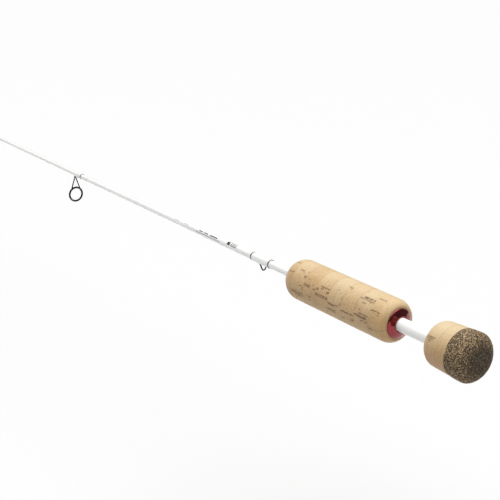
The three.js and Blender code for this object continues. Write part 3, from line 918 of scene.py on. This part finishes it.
def build_wrap(name, node, swells, around=72):
    start, end = span(node)
    base = width_radius(node)
    bore = blank_radius(start) + WRAP_GAP
    xs = np.linspace(start, end, max(24, int((end - start) / (0.2 * MM))))
    angles = np.arange(around) * TAU / around
    rows = [(start, bore)]
    for x in xs:
        radii = np.array([swollen_radius(x, a, start, end, base, swells) for a in angles])
        rows.append((x, radii))
    rows.append((end, bore))
    turned(name, rows, around, WHITE_THREAD, node, closed_loop=True)


def build_band(name, node):
    start, end = span(node)
    radius = width_radius(node)
    bore = blank_radius(start) + WRAP_GAP
    crown = []
    for t in np.linspace(0, 1, 13):
        crown.append((start + (end - start) * t, radius - BAND_CROWN * (2 * t - 1) ** 4))
    rows = [(start, bore)] + crown + [(end, bore)]
    turned(name, rows, 72, BRONZE_THREAD, node, closed_loop=True)


# ---- wire work ---------------------------------------------------------------------
def catmull(points, steps):
    """A smooth path through the points."""
    p = [np.array(q, dtype=float) for q in points]
    p = [2 * p[0] - p[1]] + p + [2 * p[-1] - p[-2]]
    path = []
    for a, b, c, d in zip(p, p[1:], p[2:], p[3:]):
        for k in range(steps):
            t = k / steps
            path.append(0.5 * (2 * b + (c - a) * t + (2 * a - 5 * b + 4 * c - d) * t * t
                               + (3 * b - a - 3 * c + d) * t**3))
    path.append(p[-2])
    return path


def swept(path, radius, sides=16, closed=False):
    """Vertices and faces of a round wire along a path, with domed ends."""
    count = len(path)
    points = [Vector(q) for q in path]
    tangents = []
    for i in range(count):
        before = points[i - 1] if closed or i else points[i]
        after = points[(i + 1) % count] if closed or i < count - 1 else points[i]
        tangents.append((after - before).normalized())
    side = tangents[0].orthogonal().normalized()
    verts, faces = [], []
    for point, tangent in zip(points, tangents):
        side = (side - tangent * side.dot(tangent)).normalized()
        up = tangent.cross(side)
        for k in range(sides):
            a = TAU * k / sides
            verts.append(tuple(point + (side * math.cos(a) + up * math.sin(a)) * radius))
    rings = count if closed else count - 1
    for i in range(rings):
        for k in range(sides):
            j, m = (k + 1) % sides, (i + 1) % count
            faces.append((i * sides + k, i * sides + j, m * sides + j, m * sides + k))
    if not closed:
        last = (count - 1) * sides
        ends = ((0, -tangents[0], points[0]), (last, tangents[-1], points[-1]))
        for base, tangent, point in ends:
            verts.append(tuple(point + tangent * radius * 0.5))
            tip = len(verts) - 1
            for k in range(sides):
                j = (k + 1) % sides
                a, b = base + k, base + j
                faces.append((tip, b, a) if base == 0 else (tip, a, b))
    return verts, faces


def circle_path(x, radius, below, count=96):
    angles = np.arange(count) * TAU / count
    return [(x, radius * math.sin(a), -below + radius * math.cos(a)) for a in angles]


def slab(tail, nose, top, thickness, width, count=14):
    """A guide's ground foot: flat on top, thinning to its tail, with rounded sides."""
    verts, faces = [], []
    sides = 16
    for i in range(count):
        t = i / (count - 1)
        x = tail + (nose - tail) * t
        thick = thickness * (0.35 + 0.65 * float(smooth(t * 2.6)))
        half = width / 2 * (0.62 + 0.38 * float(smooth(t * 3.5)))
        for k in range(sides):
            a = TAU * k / sides
            c, s = math.cos(a), math.sin(a)
            y = half * math.copysign(abs(c) ** 0.45, c)
            z = thick / 2 * math.copysign(abs(s) ** 0.45, s)
            verts.append((x, y, top - thick / 2 + z))
    for i in range(count - 1):
        for k in range(sides):
            j = (k + 1) % sides
            faces.append((i * sides + k, i * sides + j, (i + 1) * sides + j, (i + 1) * sides + k))
    faces.append(tuple(range(sides - 1, -1, -1)))
    faces.append(tuple((count - 1) * sides + k for k in range(sides)))
    return verts, faces


def fused(name, parts, voxel, material, node):
    """Several closed shapes melted into one skin, with a small fillet where they meet."""
    verts, faces = [], []
    for part_verts, part_faces in parts:
        base = len(verts)
        verts.extend(part_verts)
        faces.extend(tuple(i + base for i in face) for face in part_faces)
    mesh = bpy.data.meshes.new(name + "_parts")
    mesh.from_pydata(verts, [], faces)
    mesh.update()
    rough = bpy.data.objects.new(name + "_parts", mesh)
    bpy.context.scene.collection.objects.link(rough)
    remesh = rough.modifiers.new("melt", "REMESH")
    remesh.mode = "VOXEL"
    remesh.voxel_size = voxel
    relax = rough.modifiers.new("relax", "SMOOTH")
    relax.factor = 0.5
    relax.iterations = 3
    graph = bpy.context.evaluated_depsgraph_get()
    melted = bpy.data.meshes.new_from_object(rough.evaluated_get(graph))
    melted.name = name
    bpy.data.objects.remove(rough)
    place(name, melted, material, node)


# Each guide's wire radius, foot width, inner ring wall and how far in front of the ring
# plane its legs leave the foot, in millimetres.
GUIDE_SIZES = [
    (0.52, 1.8, 0.62, 1.2), (0.44, 1.5, 0.50, 0.8), (0.40, 1.3, 0.45, 0.65),
    (0.36, 1.2, 0.40, 0.5),
]
FOOT_THICKNESS = 0.5 * MM
LEG_SPREAD = math.radians(38)


def build_insert(name, node, wall):
    """The smooth inner ring, with a rounded section."""
    outer = width_radius(node)
    middle, below = ring_centre(node)
    start, end = span(node)
    half = (end - start) / 2
    loop = []
    for t in np.arange(20) * TAU / 20:
        c, s = math.cos(t), math.sin(t)
        x = half * math.copysign(abs(c) ** 0.8, c)
        r = outer - wall / 2 + wall / 2 * math.copysign(abs(s) ** 0.7, s)
        loop.append((middle + x, r))
    verts, faces = turned_mesh(loop[::-1], 72, True)
    verts = [(x, y, z - below) for x, y, z in verts]
    make_object(name, verts, faces, CERAMIC, node)


def build_guide(number):
    wire, foot_width, wall, reach = (v * MM for v in GUIDE_SIZES[number - 1])
    frame_node = f"guide_{number}_frame"
    low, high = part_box(frame_node)
    x, below = ring_centre(f"guide_{number}_ring")
    ring = width_radius(frame_node)
    bend = x + reach
    tail = low[0]
    top = high[2]
    middle = top - FOOT_THICKNESS / 2
    parts = [swept(circle_path(x, ring - wire, below), wire, closed=True)]
    parts.append(slab(tail, bend - 0.2 * MM, top, FOOT_THICKNESS, foot_width))
    for side in (-1, 1):
        root = side * (foot_width / 2 - wire)
        join_y = side * (ring - wire) * math.sin(LEG_SPREAD)
        join_z = -below + (ring - wire) * math.cos(LEG_SPREAD)
        leg = [
            (bend - 1.1 * MM, root, middle),
            (bend - 0.15 * MM, root, middle - 0.25 * MM),
            (bend, root, middle - 1.3 * MM),
            (x, join_y, join_z),
        ]
        parts.append(swept(catmull(leg, 10), wire))
    voxel = 0.11 * MM if ring > 5 * MM else 0.09 * MM
    fused(f"guide_{number}_wire", parts, voxel, BLACK, frame_node)
    build_insert(f"guide_{number}_liner", f"guide_{number}_ring", wall)
    wrap = f"guide_{number}_wrap"
    start, end = span(wrap)
    base = width_radius(wrap)
    swell_height = -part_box(wrap)[0][2] - base
    half_angle = (foot_width / 2 + 0.5 * MM) / base
    swell = (start + 0.2 * MM, end + 0.9 * MM, swell_height, half_angle)
    build_wrap(f"guide_{number}_thread", wrap, [swell])
    build_band(f"guide_{number}_trim", f"guide_{number}_band")


# The keeper's wire: distance from the wrap's rear end, share of the way down.
KEEPER_PATH = [
    (12.8, 0), (12.1, 0.05), (11.55, 0.19), (10.7, 0.5), (9.4, 0.9), (8.2, 1),
    (6.5, 0.75), (5.8, 0.5), (5.25, 0.1), (4.7, 0),
]
KEEPER_WIRE = 0.5 * MM
KEEPER_FOOT_WIDTH = 1.2 * MM
KEEPER_FEET = [(1.1, 5.3), (17.9, 12.3)]    # thin end and loop end of each foot


def build_keeper():
    low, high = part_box("hook_keeper")
    start = span("keeper_wrap")[0]
    top = high[2]
    rest = KEEPER_WIRE - top
    hang = -low[2] - KEEPER_WIRE - rest
    path = [(start + x * MM, 0, -rest - hang * share) for x, share in KEEPER_PATH]
    parts = [swept(catmull(path, 12), KEEPER_WIRE)]
    for thin, loop in KEEPER_FEET:
        tail, nose = start + thin * MM, start + loop * MM
        parts.append(slab(tail, nose, top, FOOT_THICKNESS, KEEPER_FOOT_WIDTH))
    fused("hook_keeper_wire", parts, 0.09 * MM, BLACK, "hook_keeper")

    wrap = "keeper_wrap"
    base = width_radius(wrap)
    height = -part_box(wrap)[0][2] - base
    half_angle = (KEEPER_FOOT_WIDTH / 2 + 0.4 * MM) / base
    front = (start + 12.4 * MM, start + 18.6 * MM, height, half_angle)
    rear = (start + 0.4 * MM, start + 5.0 * MM, height, half_angle)
    build_wrap("keeper_thread", wrap, [front, rear])
    build_band("keeper_trim_rear", "keeper_band_rear")
    build_band("keeper_trim_front", "keeper_band_front")


TIP_WALL = 0.42 * MM
TIP_WIRE = 0.34 * MM
TIP_TUBE_WALL = 0.3 * MM
TIP_TUBE_EDGE = 0.12 * MM


def build_tip():
    start, end = span("tip_top_tube")
    radius = width_radius("tip_top_tube")
    bore = radius - TIP_TUBE_WALL
    corners = [(start, bore), (start, radius), (end, radius), (end, bore)]
    rows = rounded_profile(corners, TIP_TUBE_EDGE)
    turned("tip_tube", rows, 48, BLACK, "tip_top_tube", closed_loop=True)

    plane, below = ring_centre("tip_top_ring")
    middle = width_radius("tip_top_frame") - TIP_WIRE
    along = radius + TIP_WIRE + GLUE
    parts = [swept(circle_path(plane, middle, below), TIP_WIRE, closed=True)]
    for side in (-1, 1):
        brace = [
            (start + 3 * MM, side * along, 0),
            (end - 1 * MM, side * along, 0),
            ((end + plane) / 2, side * (along + 0.15 * MM), -below * 0.25),
            (plane, side * middle * 0.97, -below * 0.8),
        ]
        parts.append(swept(catmull(brace, 10), TIP_WIRE))
    fused("tip_wire", parts, 0.08 * MM, BLACK, "tip_top_frame")
    build_insert("tip_liner", "tip_top_ring", TIP_WALL)
    build_wrap("tip_thread", "tip_top_wrap", [], 48)


# ---- stage -------------------------------------------------------------------------
def build_floor():
    level = CAD_LOW[2] - FLOOR_DROP
    half = FLOOR_SIZE / 2
    corners = [(-half, -half), (half, -half), (half, half), (-half, half)]
    verts = [(x, y, level) for x, y in corners]
    mesh = bpy.data.meshes.new("floor")
    mesh.from_pydata(verts, [], [(0, 1, 2, 3)])
    material, _, shader = new_material("pale_floor")
    shader.inputs["Base Color"].default_value = (FLOOR_GREY, FLOOR_GREY, FLOOR_GREY, 1)
    shader.inputs["Roughness"].default_value = FLOOR_ROUGHNESS
    mesh.materials.append(material)
    floor = bpy.data.objects.new("floor", mesh)
    bpy.context.scene.collection.objects.link(floor)


def build_light():
    scene = bpy.context.scene
    world = bpy.data.worlds.new("studio")
    scene.world = world
    world.use_nodes = True
    tree = world.node_tree
    tree.nodes.clear()
    output = tree.nodes.new("ShaderNodeOutputWorld")
    background = tree.nodes.new("ShaderNodeBackground")
    coordinates = tree.nodes.new("ShaderNodeTexCoord")
    up = tree.nodes.new("ShaderNodeSeparateXYZ")
    fall = tree.nodes.new("ShaderNodeMapRange")
    fall.interpolation_type = "SMOOTHSTEP"
    fall.inputs["From Min"].default_value = LIGHT_EDGE
    fall.inputs["From Max"].default_value = LIGHT_FULL
    fall.inputs["To Min"].default_value = SKY_DIM
    fall.inputs["To Max"].default_value = SKY_BRIGHT
    tree.links.new(coordinates.outputs["Generated"], up.inputs[0])
    tree.links.new(up.outputs["Z"], fall.inputs["Value"])
    tree.links.new(fall.outputs["Result"], background.inputs["Strength"])
    tree.links.new(background.outputs[0], output.inputs["Surface"])


def build_camera():
    camera = bpy.data.cameras.new("camera")
    camera.sensor_width = CAMERA_SENSOR
    camera.lens = CAMERA_LENS
    camera.clip_start = 0.01
    camera.clip_end = 100
    obj = bpy.data.objects.new("camera", camera)
    obj.location = CAMERA_PLACE
    look = (CAMERA_TARGET - CAMERA_PLACE).to_track_quat("-Z", "Y").to_matrix()
    roll = Matrix.Rotation(CAMERA_ROLL, 3, "Z")
    obj.rotation_mode = "QUATERNION"
    obj.rotation_quaternion = (look @ roll).to_quaternion()
    bpy.context.scene.collection.objects.link(obj)
    bpy.context.scene.camera = obj
    bpy.context.scene.view_settings.view_transform = "Standard"


build_camera()
build_light()
build_floor()
build_blank()
build_sleeve()
build_cap()
build_knob()
build_check()
build_grip()
build_keeper()
for guide_number in GUIDE_NUMBERS:
    build_guide(guide_number)
build_tip()
